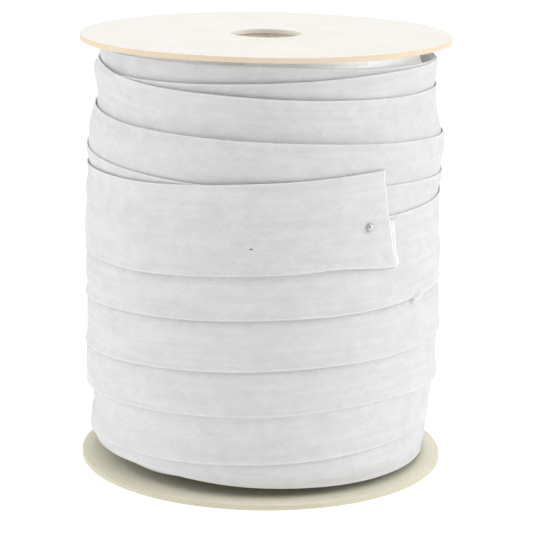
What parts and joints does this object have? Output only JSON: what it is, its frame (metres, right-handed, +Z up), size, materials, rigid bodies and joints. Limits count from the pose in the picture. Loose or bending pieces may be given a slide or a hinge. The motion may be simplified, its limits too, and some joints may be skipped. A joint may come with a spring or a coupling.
{
  "type": "roll of bias tape on a spool",
  "caption": "Spool standing upright: round card discs on a paper tube, wound with overlapping slanting turns of white bias tape, its loose end pinned down.",
  "frame": {"origin": "centre of the bottom disc's underside, the face the spool rests on", "axes": "+Z up along the spool's axis; -Y is the front, where the tape's loose end is pinned; +X is to the right seen from the front"},
  "size_m": [0.105, 0.105, 0.1235],
  "materials": {
    "card": "matt manila chipboard with a smoother pale face",
    "tube_paper": "matt brown spiral-wound paper",
    "tape": "plain-woven white cotton cut on the bias and pressed in folds, matt",
    "pin_steel": "nickel-plated steel wire, bright"
  },
  "bodies": {
    "root": {"flange_bottom": "card", "flange_top": "card", "core_tube": "tube_paper", "tape_winding": "tape", "tape_end": "tape", "pin": "pin_steel"}
  },
  "joints": []
}
